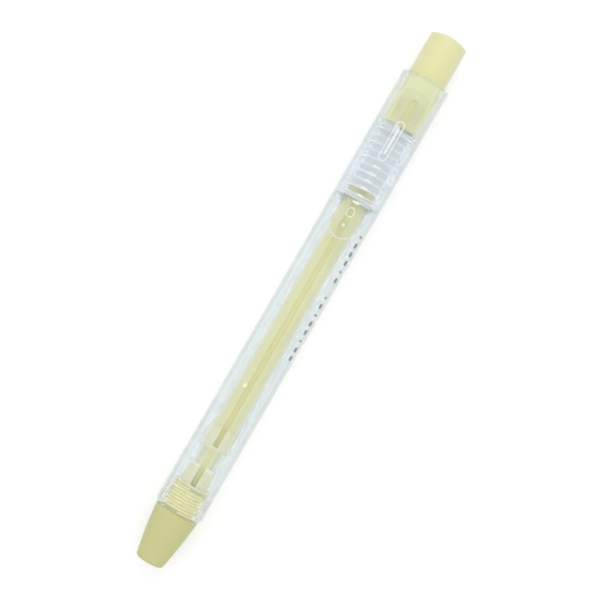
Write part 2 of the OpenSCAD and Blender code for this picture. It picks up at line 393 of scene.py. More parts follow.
def ranged(group, value, low, high):
    """Maps 0..1 to low..high, where both may be sockets or numbers."""
    node = group.nodes.new("ShaderNodeMapRange")
    group.links.new(value, node.inputs["Value"])
    for label, bound in (("To Min", low), ("To Max", high)):
        if isinstance(bound, bpy.types.NodeSocket):
            group.links.new(bound, node.inputs[label])
        else:
            node.inputs[label].default_value = bound
    return node.outputs["Result"]


def moulded_group():
    """Moulded plastic: soft mottling of the colour, uneven gloss and a fine moulded grain."""
    group, entry, leave = group_start(
        "moulded_plastic",
        [
            ("Color", "NodeSocketColor", (0.8, 0.8, 0.8, 1)),
            ("Deeper", "NodeSocketColor", (0.75, 0.75, 0.7, 1)),
            ("Rough Low", "NodeSocketFloat", 0.35),
            ("Rough High", "NodeSocketFloat", 0.45),
        ],
        [
            ("Color", "NodeSocketColor"),
            ("Roughness", "NodeSocketFloat"),
            ("Height", "NodeSocketFloat"),
        ],
    )
    coords = group.nodes.new("ShaderNodeTexCoord").outputs["Object"]
    mottle = noise(group, coords, 160, 3, (0.4, 1, 1))
    mix = group.nodes.new("ShaderNodeMix")
    mix.data_type = "RGBA"
    group.links.new(ranged(group, mottle, -0.2, 1.2), mix.inputs["Factor"])
    group.links.new(entry.outputs["Color"], mix.inputs["A"])
    group.links.new(entry.outputs["Deeper"], mix.inputs["B"])
    group.links.new(mix.outputs["Result"], leave.inputs["Color"])
    gloss = noise(group, coords, 420, 2)
    group.links.new(
        ranged(group, gloss, entry.outputs["Rough Low"], entry.outputs["Rough High"]),
        leave.inputs["Roughness"],
    )
    group.links.new(noise(group, coords, 6500, 2), leave.inputs["Height"])
    return group


def frosted_group():
    """Frosted clear plastic: a fine even frosting with flow streaks along the moulding."""
    group, entry, leave = group_start(
        "frosted_plastic",
        [
            ("Color", "NodeSocketColor", (0.9, 0.95, 0.97, 1)),
            ("Paler", "NodeSocketColor", (0.95, 0.97, 0.98, 1)),
            ("Rough Low", "NodeSocketFloat", 0.45),
            ("Rough High", "NodeSocketFloat", 0.55),
        ],
        [
            ("Color", "NodeSocketColor"),
            ("Roughness", "NodeSocketFloat"),
            ("Height", "NodeSocketFloat"),
        ],
    )
    coords = group.nodes.new("ShaderNodeTexCoord").outputs["Object"]
    streak = noise(group, coords, 500, 3, (0.12, 1, 1))
    mix = group.nodes.new("ShaderNodeMix")
    mix.data_type = "RGBA"
    group.links.new(streak, mix.inputs["Factor"])
    group.links.new(entry.outputs["Color"], mix.inputs["A"])
    group.links.new(entry.outputs["Paler"], mix.inputs["B"])
    group.links.new(mix.outputs["Result"], leave.inputs["Color"])
    group.links.new(
        ranged(group, streak, entry.outputs["Rough Low"], entry.outputs["Rough High"]),
        leave.inputs["Roughness"],
    )
    group.links.new(noise(group, coords, 9000, 2), leave.inputs["Height"])
    return group


def drawn_group():
    """Metal with fine tool or drawing lines running round the pen's axis."""
    group, entry, leave = group_start(
        "drawn_metal",
        [
            ("Color", "NodeSocketColor", (0.6, 0.6, 0.6, 1)),
            ("Darker", "NodeSocketColor", (0.4, 0.4, 0.4, 1)),
            ("Roughness", "NodeSocketFloat", 0.25),
        ],
        [
            ("Color", "NodeSocketColor"),
            ("Roughness", "NodeSocketFloat"),
            ("Height", "NodeSocketFloat"),
        ],
    )
    coords = group.nodes.new("ShaderNodeTexCoord").outputs["Object"]
    lines = noise(group, coords, 900, 3, (6, 0.6, 0.6))
    mix = group.nodes.new("ShaderNodeMix")
    mix.data_type = "RGBA"
    group.links.new(ranged(group, lines, -0.3, 1.0), mix.inputs["Factor"])
    group.links.new(entry.outputs["Color"], mix.inputs["A"])
    group.links.new(entry.outputs["Darker"], mix.inputs["B"])
    group.links.new(mix.outputs["Result"], leave.inputs["Color"])
    add = group.nodes.new("ShaderNodeMath")
    add.operation = "ADD"
    group.links.new(entry.outputs["Roughness"], add.inputs[0])
    group.links.new(ranged(group, lines, -0.06, 0.1), add.inputs[1])
    group.links.new(add.outputs[0], leave.inputs["Roughness"])
    group.links.new(lines, leave.inputs["Height"])
    return group


MOULDED = moulded_group()
FROSTED = frosted_group()
DRAWN = drawn_group()


def material(name, group, inputs, sockets, bump, height):
    """A material whose colour, roughness and bump come from a group, the rest from its sockets."""
    made = bpy.data.materials.new(name)
    made.use_nodes = True
    tree = made.node_tree
    shader = tree.nodes["Principled BSDF"]
    effect = tree.nodes.new("ShaderNodeGroup")
    effect.node_tree = group
    for label, value in inputs.items():
        effect.inputs[label].default_value = value
    for label, value in sockets.items():
        shader.inputs[label].default_value = value
    tree.links.new(effect.outputs["Color"], shader.inputs["Base Color"])
    tree.links.new(effect.outputs["Roughness"], shader.inputs["Roughness"])
    grain = tree.nodes.new("ShaderNodeBump")
    grain.inputs["Strength"].default_value = bump
    grain.inputs["Distance"].default_value = height * MM
    tree.links.new(effect.outputs["Height"], grain.inputs["Height"])
    tree.links.new(grain.outputs["Normal"], shader.inputs["Normal"])
    return made


def plastic(name, color, deeper, rough, bump=0.15, **sockets):
    """A moulded plastic of that colour, with its deeper mottling and roughness range."""
    return material(
        name,
        MOULDED,
        {
            "Color": (*color, 1),
            "Deeper": (*deeper, 1),
            "Rough Low": rough[0],
            "Rough High": rough[1],
        },
        {"IOR": 1.5, **sockets},
        bump,
        0.02,
    )


def clear(name, color, paler, rough, bump=0.1, clearness=1.0, ior=1.25, body=0.6):
    """A clear plastic: roughness frosts it, and the lower its body, the plainer what is inside."""
    return material(
        name,
        FROSTED,
        {
            "Color": (*color, 1),
            "Paler": (*paler, 1),
            "Rough Low": rough[0],
            "Rough High": rough[1],
        },
        {"IOR": ior, "Transmission Weight": clearness, "Alpha": body},
        bump,
        0.01,
    )


def metal(name, color, darker, roughness):
    """A bare metal with drawing lines."""
    return material(
        name,
        DRAWN,
        {"Color": (*color, 1), "Darker": (*darker, 1), "Roughness": roughness},
        {"Metallic": 1.0},
        0.2,
        0.01,
    )


BARREL_FROSTED = clear(
    "barrel_frosted",
    (0.77, 0.915, 1.0),
    (0.79, 0.925, 1.0),
    (0.19, 0.22),
    clearness=0.6,
    ior=1.2,
    body=0.42,
)
BARREL_POLISHED = clear(
    "barrel_polished", (0.96, 0.99, 1.0), (0.97, 0.995, 1.0), (0.14, 0.18), 0.03, body=0.35
)
# Grey, nearly opaque finish: painted shade, seen as dark bars at the ledge's sides
LEDGE_PAINTED_SHADE = clear(
    "barrel_ledge_painted_shade", (0.56, 0.62, 0.64), (0.6, 0.66, 0.68), (0.3, 0.4), clearness=0.1, body=1.0
)
CLIP_CLEAR = clear(
    "clip_clear", (0.99, 0.995, 1.0), (0.99, 1.0, 1.0), (0.03, 0.06), 0.02, ior=1.4, body=0.4
)
CLIP_WELD = clear(
    "clip_weld", (0.98, 0.99, 1.0), (0.985, 0.995, 1.0), (0.03, 0.06), 0.02, ior=1.1, body=0.1
)
# Whitish, mostly opaque finish: a painted highlight round the clip's end and painted glints on its
# ball and on the gate mark
CLIP_PAINTED_GLINT = clear(
    "clip_painted_glint", (0.99, 0.99, 0.96), (1.0, 1.0, 0.98), (0.03, 0.06), 0.02, 0.3, ior=1.6, body=1.0
)
# Blue-grey, cloudier copy of the clip's plastic: painted shade along the arm's long sides
CLIP_SIDE_SHADE = clear(
    "clip_side_painted_shade", (0.74, 0.84, 0.9), (0.78, 0.87, 0.92), (0.1, 0.14), 0.02, 0.7, ior=1.3, body=0.9
)
KNOB_CREAM = plastic(
    "knob_cream", (0.80, 0.79, 0.41), (0.775, 0.76, 0.375), (0.34, 0.44), **{"Sheen Weight": 0.8}
)
# Brighter copy of the knob's cream: painted light on the skirt inside the barrel, which makes up
# for light the barrel takes
KNOB_SKIRT_PAINTED_LIGHT = plastic("knob_skirt_painted_light", (0.95, 0.88, 0.45), (0.92, 0.85, 0.41), (0.34, 0.44))
# Deeper yellow copy of the skirt's cream: painted shade in the skirt's groove
KNOB_GROOVE_SHADE = plastic("knob_groove_painted_shade", (0.98, 0.88, 0.38), (0.95, 0.85, 0.35), (0.34, 0.44))
HOLDER_CREAM = plastic(
    "holder_cream", (0.9, 0.83, 0.405), (0.87, 0.795, 0.37), (0.36, 0.46), **{"Sheen Weight": 0.4}
)
# Darker, deeper yellow copy of the holder's cream: painted shade in the holder tube's groove
HOLDER_GROOVE_SHADE = plastic("holder_groove", (0.86, 0.78, 0.28), (0.84, 0.76, 0.26), (0.36, 0.46))
# Much brighter copy of the nose's cream: painted light on the thread's ridge, while the root stays
# near the nose's own colour
THREAD_RIDGE_PAINTED_LIGHT = plastic("thread_ridge_painted_light", (1.0, 0.91, 0.46), (0.97, 0.88, 0.42), (0.32, 0.42))
THREAD_ROOT = plastic("thread_root", (0.66, 0.63, 0.28), (0.63, 0.6, 0.25), (0.32, 0.42))
NOSE_CREAM = plastic("nose_cream", (0.635, 0.635, 0.285), (0.605, 0.60, 0.26), (0.32, 0.42))
MILKY = plastic("milky_plastic", (0.97, 0.99, 1.0), (0.95, 0.97, 0.98), (0.4, 0.5))
IVORY = plastic("ivory_plastic", (0.91, 0.85, 0.53), (0.88, 0.815, 0.49), (0.38, 0.48))
# Paler copy of the ivory: painted light on the collet's bore, slit and end faces, and a painted
# highlight on the sleeve's rear end
IVORY_PAINTED_LIGHT = plastic("ivory_painted_light", (1.0, 0.98, 0.86), (0.98, 0.96, 0.84), (0.38, 0.48))
# Darker, deeper yellow copy of the ivory: painted shade in the collet's groove
COLLET_GROOVE_SHADE = plastic("collet_groove", (0.86, 0.8, 0.33), (0.84, 0.78, 0.3), (0.38, 0.48))
ERASER_WHITE = plastic("eraser_white", (0.90, 0.89, 0.76), (0.87, 0.86, 0.72), (0.6, 0.75), 0.4)
WHITE_INK = plastic("white_ink", (0.9, 0.9, 0.9), (0.86, 0.87, 0.87), (0.45, 0.55))
GREY_INK = plastic("grey_ink", (0.27, 0.3, 0.33), (0.31, 0.34, 0.37), (0.5, 0.6))
STEEL = metal("spring_steel", (0.98, 0.98, 0.98), (0.84, 0.85, 0.86), 0.28)
BRASS = metal("ring_brass", (0.80, 0.58, 0.26), (0.62, 0.43, 0.18), 0.28)


def dressed(piece, finish, body, slot, *nodes):
    """Gives a finished piece its material and its body, and hides the CAD nodes it stands for;
    slot is not used.
    """
    piece.data.materials.clear()
    piece.data.materials.append(finish)
    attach(piece, body)
    if nodes:
        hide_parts(*nodes)
    return piece


# Barrel shell

barrel_outline = (
    [(NOSE_Z, SOCKET_R), (NOSE_Z, SHOULDER_R), (NOSE_Z + CHAMFER, BARREL_R)]
    + arc(RIM_Z - RIM_ROUND, BARREL_R - RIM_ROUND, RIM_ROUND, 90, 0, 5)
    + [
        (RIM_Z, BORE_R),
        (SEAT_Z + LEDGE_RISE, BORE_R),
        (SEAT_Z - LEDGE_DROP, LEDGE_BORE_R),
        (LEDGE_Z, LEDGE_BORE_R),
        (LEDGE_Z, MID_BORE_R),
        (SOCKET_Z, MID_BORE_R),
        (SOCKET_Z, SOCKET_R),
        (NOSE_Z, SOCKET_R),
    ]
)
barrel = turned("barrel_shell", barrel_outline, 128)
softened(barrel, 0.1)
bpy.ops.object.select_all(action="DESELECT")
bpy.ops.mesh.primitive_uv_sphere_add(
    segments=32, ring_count=16, radius=GATE_R * MM, location=at(GATE_Z, GATE_Y, GATE_UP)
)
combined(barrel, added("gate_mark"), "DIFFERENCE")
smooth(barrel)
dressed(barrel, BARREL_FROSTED, "barrel", "clear_barrel", "barrel")


def over_axis(face):
    """The middle of a face in millimetres: z from the tip, y across, up and r from the axis."""
    z, y, up = (face.center.x / MM + HALF_LEN, face.center.y / MM, face.center.z / MM - AXIS_UP)
    return z, y, up, math.hypot(y, up)


def finished(piece, finish, test):
    """Gives the faces that pass the test another finish."""
    finishes = piece.data.materials
    if finish.name not in finishes:
        finishes.append(finish)
    for face in piece.data.polygons:
        if test(face, *over_axis(face)):
            face.material_index = finishes.find(finish.name)


def in_bore(face, z, y, up, r):
    """The barrel's inner faces, which look towards the axis."""
    return r < BORE_R + 0.1 and face.normal.y * y + face.normal.z * up < 0


def on_gate_mark_glint(face, z, y, up, r):
    """The half of the dimple that lies nearer to the middle of the pen, where a glint is painted.
    """
    inside = BARREL_R - 0.5 < r < BARREL_R - 0.02 and up > 0
    return inside and GATE_Z - 0.8 < z < GATE_Z + 0.8 and 0.6 < y < GATE_Y + 0.09


def on_ledge_shade(face, z, y, up, r):
    """The two sides of the ledge, beside the pieces that pass through it, which get painted shade.
    """
    inside = LEDGE_BORE_R - 0.2 < r < BORE_R and abs(y) > LEDGE_SEEN_Y
    return inside and LEDGE_Z - 0.3 < z < SEAT_Z + 0.5


finished(barrel, BARREL_POLISHED, in_bore)
finished(barrel, LEDGE_PAINTED_SHADE, on_ledge_shade)
finished(barrel, CLIP_PAINTED_GLINT, on_gate_mark_glint)


# Knob button

crown_r = (KNOB_R**2 + CROWN_H**2) / (2 * CROWN_H)
crown_half = math.degrees(math.asin(KNOB_R / crown_r))
knob_socket_r = PUSH_R + SOCKET_FIT
knob_outline = (
    [(SKIRT_Z, SKIRT_BORE_R), (SKIRT_Z, KNOB_R)]
    + arc(PEN_LEN - crown_r, 0, crown_r, crown_half, 0, 8)
    + [
        (KNOB_CORE_Z, 0),
        (KNOB_CORE_Z, KNOB_CORE_R),
        (PUSH_END_Z + SOCKET_FIT, KNOB_CORE_R),
        (PUSH_END_Z + SOCKET_FIT, knob_socket_r),
        (SKIRT_MOUTH_Z, knob_socket_r),
        (SKIRT_MOUTH_Z, SKIRT_BORE_R),
        (SKIRT_Z, SKIRT_BORE_R),
    ]
)
knob = turned("knob_button", knob_outline)
pick(knob)
bpy.ops.object.mode_set(mode="EDIT")
bpy.ops.mesh.select_all(action="SELECT")
bpy.ops.mesh.bisect(plane_co=at(RIM_Z - SKIRT_LINE), plane_no=(1, 0, 0))
bpy.ops.object.mode_set(mode="OBJECT")
groove = block(
    "skirt_groove",
    SKIRT_Z - OVERCUT,
    KNOB_GROOVE_Z,
    -KNOB_GROOVE_HALF_W,
    KNOB_GROOVE_HALF_W,
    KNOB_GROOVE_UP,
    BARREL_R,
)
combined(knob, groove, "DIFFERENCE")
softened(knob, 0.22, 3)
smooth(knob)
dressed(knob, KNOB_CREAM, "plunger", "cream_plastic", "knob")


def in_knob_groove_shade(face, z, y, up, r):
    """The bottom and the sides of the groove in the skirt, which get painted shade."""
    inside = KNOB_GROOVE_UP - 0.1 < up and r < KNOB_R - 0.1
    return inside and abs(y) < KNOB_GROOVE_HALF_W + 0.02 and z < KNOB_GROOVE_Z


# The skirt inside the barrel gets the brighter, painted-light copy of the cream
finished(knob, KNOB_SKIRT_PAINTED_LIGHT, lambda face, z, y, up, r: z < RIM_Z - SKIRT_LINE / 2)
finished(knob, KNOB_GROOVE_SHADE, in_knob_groove_shade)


# Mouldings and ring inside the barrel: tubes, collet, chuck ring and chuck sleeve

push_tube = turned(
    "push_tube_moulding",
    [
        (PUSH_Z, PUSH_BORE_R),
        (PUSH_Z, PUSH_SPIGOT_R),
        (HOLDER_END_Z, PUSH_SPIGOT_R),
        (HOLDER_END_Z, PUSH_R),
        (PUSH_END_Z, PUSH_R),
        (PUSH_END_Z, PUSH_BORE_R),
        (PUSH_Z, PUSH_BORE_R),
    ],
)
softened(push_tube, 0.12)
smooth(push_tube)
dressed(push_tube, MILKY, "plunger", "pale_plastic", "push_tube")


def groove_tool(name, z0, z1, bottom):
    """The tool for the groove that runs along the pen's top on the inner pieces."""
    return block(name, z0, z1, -GROOVE_HALF_W, GROOVE_HALF_W, bottom, GROOVE_TOOL_UP)


holder = tube("holder_tube_moulding", HOLDER_Z, HOLDER_END_Z, HOLDER_BORE_R, HOLDER_R)
groove = groove_tool("holder_groove", HOLDER_Z - OVERCUT, HOLDER_END_Z + OVERCUT, GROOVE_UP)
combined(holder, groove, "DIFFERENCE")
softened(holder, 0.1)
smooth(holder)
dressed(holder, HOLDER_CREAM, "plunger", "cream_plastic", "holder_tube")


def in_holder_groove_shade(face, z, y, up, r):
    """The bottom and the sides of the holder tube's groove, which get painted shade."""
    return abs(y) < GROOVE_HALF_W + 0.03 and GROOVE_UP - 0.1 < up and r < HOLDER_R - 0.05


finished(holder, HOLDER_GROOVE_SHADE, in_holder_groove_shade)

collet = turned(
    "collet_jaws",
    [
        (JAW_Z, JAW_BITE_R),
        (JAW_Z, JAW_TIP_R),
        (JAW_CONE_Z, JAW_CONE_R),
        (JAW_CONE_END_Z, JAW_CONE_R),
        (SHANK_Z, SHANK_R),
        (HEAD_Z, SHANK_R),
        (HEAD_Z, HEAD_R),
        (HEAD_END_Z, HEAD_R),
        (HEAD_END_Z, HOLDER_R + SOCKET_FIT),
        (HOLDER_Z - SOCKET_FIT, HOLDER_R + SOCKET_FIT),
        (HOLDER_Z - SOCKET_FIT, HOLDER_BORE_R),
        (JAW_BITE_END_Z, HOLDER_BORE_R),
        (JAW_BITE_END_Z, JAW_BITE_R),
        (JAW_Z, JAW_BITE_R),
    ],
)


def turned_round(piece, degrees):
    """Turns a tool round the pen's axis, from the clip's side towards the front of the pen."""
    pick(piece)
    bpy.ops.object.mode_set(mode="EDIT")
    bpy.ops.mesh.select_all(action="SELECT")
    bpy.ops.transform.rotate(value=-math.radians(degrees), orient_axis="X", center_override=at(0))
    bpy.ops.object.mode_set(mode="OBJECT")
    return piece


for turn in SLIT_TURNS:
    slit = block(
        "slit",
        JAW_Z - OVERCUT,
        SLIT_END_Z,
        -SLIT_HALF_W,
        SLIT_HALF_W,
        -JAW_CONE_R - OVERCUT,
        JAW_CONE_R + OVERCUT,
    )
    combined(collet, turned_round(slit, turn), "DIFFERENCE")
groove = groove_tool("collet_groove", COLLET_GROOVE_Z, COLLET_GROOVE_END_Z, COLLET_GROOVE_UP)
combined(collet, groove, "DIFFERENCE")
rear_slot = groove_tool("rear_slot", HOLDER_Z, HEAD_END_Z + OVERCUT, 0.0)
combined(collet, rear_slot, "DIFFERENCE")
softened(collet, 0.06)
smooth(collet)
dressed(collet, IVORY, "plunger", "pale_plastic", "collet")


def in_collet_groove_shade(face, z, y, up, r):
    """The bottom and the sides of the shallow groove in the collet's shank, which get painted
    shade.
    """
    inside = COLLET_GROOVE_UP - 0.15 < up < SHANK_R - 0.05
    return inside and abs(y) < GROOVE_HALF_W + 0.02 and z < COLLET_GROOVE_END_Z + 0.1


# The collet's bore, slit and end faces get painted light against the shade in them
finished(collet, IVORY_PAINTED_LIGHT, lambda face, z, y, up, r: z < HEAD_Z and r < SHANK_R - 0.07)
finished(collet, COLLET_GROOVE_SHADE, in_collet_groove_shade)

ring = tube("chuck_ring_turned", RING_Z, RING_END_Z, RING_BORE_R, RING_R)
softened(ring, 0.12)
smooth(ring)
dressed(ring, BRASS, "chuck_ring", "ring_brass", "chuck_ring")

sleeve = turned(
    "chuck_sleeve_moulding",
    [
        (SLEEVE_Z, SLEEVE_BORE_R),
        (SLEEVE_Z, SLEEVE_R),
        (FLANGE_Z, SLEEVE_R),
        (FLANGE_Z, FLANGE_R),
        (FLANGE_END_Z, FLANGE_R),
        (FLANGE_END_Z, SLEEVE_REAR_R),
        (SLEEVE_RIM_Z, SLEEVE_REAR_R),
        (SLEEVE_END_Z, SLEEVE_REAR_R),
        (SLEEVE_END_Z, SLEEVE_BORE_R),
        (SLEEVE_Z, SLEEVE_BORE_R),
    ],
)
sleeve_slot = groove_tool("sleeve_slot", FLANGE_END_Z, SLEEVE_SLOT_END_Z, 0.0)
combined(sleeve, sleeve_slot, "DIFFERENCE")
softened(sleeve, 0.1)
smooth(sleeve)
dressed(sleeve, IVORY, "chuck_sleeve", "pale_plastic", "chuck_sleeve")
# The sleeve's rear end gets a painted highlight
finished(sleeve, IVORY_PAINTED_LIGHT, lambda face, z, y, up, r: z > SLEEVE_RIM_Z)


# Nose cone shell, with a wound thread on its spigot


def nose_side():
    """The side of the cone, a shallow arc from the tip's rounding to the shoulder."""
    start = (TIP_ROUND, TIP_FLAT_R + TIP_ROUND)
    end = (NOSE_Z, SHOULDER_R)
    points = []
    steps = 10
    for i in range(1, steps + 1):
        t = i / steps
        rise = 4 * BULGE * t * (1 - t)
        z = start[0] + (end[0] - start[0]) * t
        points.append((z, start[1] + (end[1] - start[1]) * t + rise))
    return points


nose_outline = (
    [(0.0, MOUTH_R)]
    + arc(TIP_ROUND, TIP_FLAT_R, TIP_ROUND, 180, 90, 6)
    + nose_side()
    + [
        (NOSE_Z, THREAD_ROOT_R),
        (SPIGOT_Z, THREAD_ROOT_R),
        (SPIGOT_Z, SPIGOT_BORE_R),
        (STEP_Z, SPIGOT_BORE_R),
        (STEP_Z, NOSE_BORE_R),
        (TIP_WALL, NOSE_BORE_R),
        (TIP_WALL, MOUTH_R),
        (0.0, MOUTH_R),
    ]
)
nose = turned("nose_cone_shell", nose_outline)


def helix(name, outline, stretches, steps):
    """Winds a closed outline round the pen's axis, one stretch of (turns, pitch) after another."""
    parts = []
    shift = 0.0
    for turns, pitch in stretches:
        part = traced(name, [(z + shift, r) for z, r in outline])
        bpy.ops.object.mode_set(mode="EDIT")
        bpy.ops.mesh.select_all(action="SELECT")
        bpy.ops.mesh.remove_doubles(threshold=1e-7)
        bpy.ops.transform.translate(value=(0, 0, -AXIS_UP * MM))
        bpy.ops.object.mode_set(mode="OBJECT")
        apply(
            part,
            "SCREW",
            axis="X",
            angle=math.tau,
            screw_offset=pitch * MM,
            iterations=turns,
            steps=steps,
            render_steps=steps,
        )
        parts.append(part)
        shift += turns * pitch
    bpy.ops.object.select_all(action="DESELECT")
    for part in parts:
        part.select_set(True)
    bpy.context.view_layer.objects.active = parts[0]
    if len(parts) > 1:
        bpy.ops.object.join()
    piece = parts[0]
    bpy.ops.object.mode_set(mode="EDIT")
    bpy.ops.mesh.select_all(action="SELECT")
    bpy.ops.transform.translate(value=(0, 0, AXIS_UP * MM))
    bpy.ops.mesh.remove_doubles(threshold=1e-7)
    bpy.ops.mesh.fill_holes(sides=0)
    bpy.ops.mesh.normals_make_consistent(inside=False)
    bpy.ops.object.mode_set(mode="OBJECT")
    return piece


ridge_z = NOSE_Z + RIDGE_START
crest_z = ridge_z + RIDGE_FLANK
crest_end_z = crest_z + RIDGE_CREST
ridge_end_z = crest_end_z + RIDGE_FLANK
ridge_outline = [
    (ridge_z, THREAD_ROOT_R - RIDGE_SUNK),
    (ridge_z, THREAD_ROOT_R + RIDGE_FOOT),
    (crest_z, THREAD_R),
    (crest_end_z, THREAD_R),
    (ridge_end_z, THREAD_ROOT_R + RIDGE_FOOT),
    (ridge_end_z, THREAD_ROOT_R - RIDGE_SUNK),
    (ridge_z, THREAD_ROOT_R - RIDGE_SUNK),
]
thread = helix("nose_thread", ridge_outline, [(RIDGE_TURNS, RIDGE_PITCH)], steps=72)
combined(nose, thread, "UNION")
softened(nose, 0.06, 2, 50)
smooth(nose)
dressed(nose, NOSE_CREAM, "nose", "cream_plastic", "nose_cone")


def on_ridge_lit(face, z, y, up, r):
    """The flanks and the crest of the thread, which get painted light."""
    return z > NOSE_Z + 0.02 and r > THREAD_ROOT_R + 0.12


finished(nose, THREAD_ROOT, lambda face, z, y, up, r: z > NOSE_Z + 0.02)
finished(nose, THREAD_RIDGE_PAINTED_LIGHT, on_ridge_lit)


# Return spring

wire_outline = arc(SEAT_Z + WIRE_R, SPRING_R, WIRE_R, 0, 360, WIRE_SIDES)
close_turns = (END_TURNS, END_PITCH)
spring = helix(
    "return_spring", wire_outline, [close_turns, (OPEN_TURNS, OPEN_PITCH), close_turns], steps=40
)
smooth(spring, 60)
dressed(spring, STEEL, "barrel", "spring_steel", "spring")
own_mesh(spring)


# Eraser stick

eraser = rod("eraser_stick", ERASER_Z, ERASER_END_Z, ERASER_R, 64)
softened(eraser, 0.25, 3)
smooth(eraser)
dressed(eraser, ERASER_WHITE, "eraser", "white_vinyl", "eraser")


# Clip arm, with its round end, foot and ball

clip = block(
    "clip_arm",
    CLIP_END_Z,
    CLIP_REAR_Z,
    -CLIP_HALF_W,
    CLIP_HALF_W,
    CLIP_BLANK_UNDER,
    CLIP_TOP + OVERCUT,
)
bpy.ops.object.mode_set(mode="EDIT")
rear_x = at(CLIP_REAR_Z)[0]
edges_chosen(clip, lambda a, b: min(a.x, b.x) > rear_x - 1e-6 and abs(a.z - b.z) > MM)
bpy.ops.mesh.bevel(offset=CLIP_CORNER * MM, segments=8, affect="EDGES")
bpy.ops.object.mode_set(mode="OBJECT")
bpy.ops.object.select_all(action="DESELECT")
bpy.ops.mesh.primitive_cylinder_add(
    vertices=64,
    radius=CLIP_HALF_W * MM,
    depth=CLIP_END_DEPTH * MM,
    location=at(CLIP_END_Z, 0, CLIP_END_UP - CLIP_END_DEPTH / 2),
)
clip_end = added("clip_end")
bpy.ops.object.mode_set(mode="EDIT")
bpy.ops.mesh.select_mode(type="FACE")
bpy.ops.mesh.select_all(action="DESELECT")
bpy.ops.object.mode_set(mode="OBJECT")
for face in clip_end.data.polygons:
    face.select = face.normal.z > 0.9
bpy.ops.object.mode_set(mode="EDIT")
bpy.ops.mesh.extrude_region_move(TRANSFORM_OT_translate={"value": (0, 0, CLIP_END_SLOPE * MM)})
bpy.ops.transform.resize(
    value=(CLIP_END_SHRINK, CLIP_END_SHRINK, 1),
    center_override=at(CLIP_END_Z, 0, CLIP_END_UP + CLIP_END_SLOPE),
)
bpy.ops.object.mode_set(mode="OBJECT")
combined(clip, clip_end, "UNION")
combined(clip, rod("crown", CLIP_TOOL_Z, CLIP_TOOL_END_Z, CLIP_TOP), "INTERSECT")
under_arm = block(
    "under_arm", CLIP_TOOL_Z, FOOT_Z, -CLIP_TOOL_HALF_W, CLIP_TOOL_HALF_W, 0, CLIP_UNDER
)
combined(clip, under_arm, "DIFFERENCE")
combined(clip, rod("saddle", SADDLE_Z, CLIP_TOOL_END_Z, FOOT_UNDER, 180), "DIFFERENCE")
softened(clip, 0.25, 3, 50)
bpy.ops.object.select_all(action="DESELECT")
bpy.ops.mesh.primitive_uv_sphere_add(
    segments=48, ring_count=24, radius=BALL_R * MM, location=at(BALL_Z, 0, BALL_UP)
)
combined(clip, added("clip_ball"), "UNION")
mended(clip)
smooth(clip)
dressed(clip, CLIP_CLEAR, "clip", "clear_clip", "clip")


def on_clip_side_shade(face, z, y, up, r):
    """The two long sides of the arm, which get painted shade."""
    return z > CLIP_END_EDGE_Z and abs(face.normal.y) > 0.9


def on_weld(face, z, y, up, r):
    """The faces of the foot that are welded to the barrel."""
    return z > FOOT_Z - 0.1 and face.normal.z < 0.5


def on_end_edge_glint(face, z, y, up, r):
    """The edge round the front end of the arm, which gets a painted highlight."""
    return z < CLIP_END_EDGE_Z and abs(face.normal.z) < 0.9


def on_ball(face, z, y, up, r):
    """The ball under the front end."""
    return up < CLIP_UNDER - 0.02 and z < BALL_BEHIND_Z


def on_ball_tip_glint(face, z, y, up, r):
    """The lowest spot of the ball, which gets a painted glint."""
    return up < CLIP_UNDER - 1.09 and z < BALL_BEHIND_Z


finished(clip, CLIP_SIDE_SHADE, on_clip_side_shade)
finished(clip, CLIP_WELD, on_weld)
finished(clip, CLIP_PAINTED_GLINT, on_end_edge_glint)
finished(clip, CLIP_WELD, on_ball)
finished(clip, CLIP_PAINTED_GLINT, on_ball_tip_glint)


# Printing: plain marks on the clip and the barrel

INK = 0.02
INK_SHEET_Z = 54.0
INK_SHEET_END_Z = 121.0
MARK_REACH = 0.5
# A long frame on the clip with a stripe in it, then a row of bars and a ring
FRAME_Z = 108.0
FRAME_END_Z = 118.3
FRAME_HALF_W = 1.05
FRAME_LINE = 0.25
STRIPE_Z = 109.7
STRIPE_END_Z = 116.6
STRIPE_HALF_W = 0.28
BAR_FIRST_Z = 106.0
BAR_PITCH = 1.9
BAR_COUNT = 6
BAR_LEN = 0.5
BAR_HALF_W = 0.85
RING_MARK_Z = 93.0
RING_MARK_END_Z = 95.4
RING_MARK_HALF_W = 0.95
RING_MARK_LINE = 0.2
RING_MARK_SIDE_LINE = 0.18
# Dashes along the barrel, at the side of the clip, where a length of 0 leaves one out
DASH_TURN = 56
DASH_FIRST_Z = 90.6
DASH_PITCH = 2.33
DASH_HALF_W = 0.5
DASH_LENGTHS = (0.5, 1.2, 1.2, 1.2, 0.5, 1.2, 0, 0.5, 1.2, 0.5, 1.2, 1.2, 0.5, 1.2, 1.2)


def ink_layer(marks, name, radius, finish, body):
    """Keeps of the marks a thin layer on the round surface of that radius."""
    bpy.ops.object.select_all(action="DESELECT")
    for piece in marks:
        piece.select_set(True)
    layer = marks[0]
    bpy.context.view_layer.objects.active = layer
    bpy.ops.object.join()
    layer.name = layer.data.name = name
    low, high = radius - INK / 2, radius + INK
    sheet = tube("ink_sheet", INK_SHEET_Z, INK_SHEET_END_Z, low, high, 360)
    combined(layer, sheet, "INTERSECT")
    layer.data.materials.clear()
    layer.data.materials.append(finish)
    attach(layer, body)
    return layer


def mark(z0, z1, half_w, surface_r):
    """A block that stands through the top of a round surface."""
    return block("mark", z0, z1, -half_w, half_w, surface_r - MARK_REACH, surface_r + MARK_REACH)


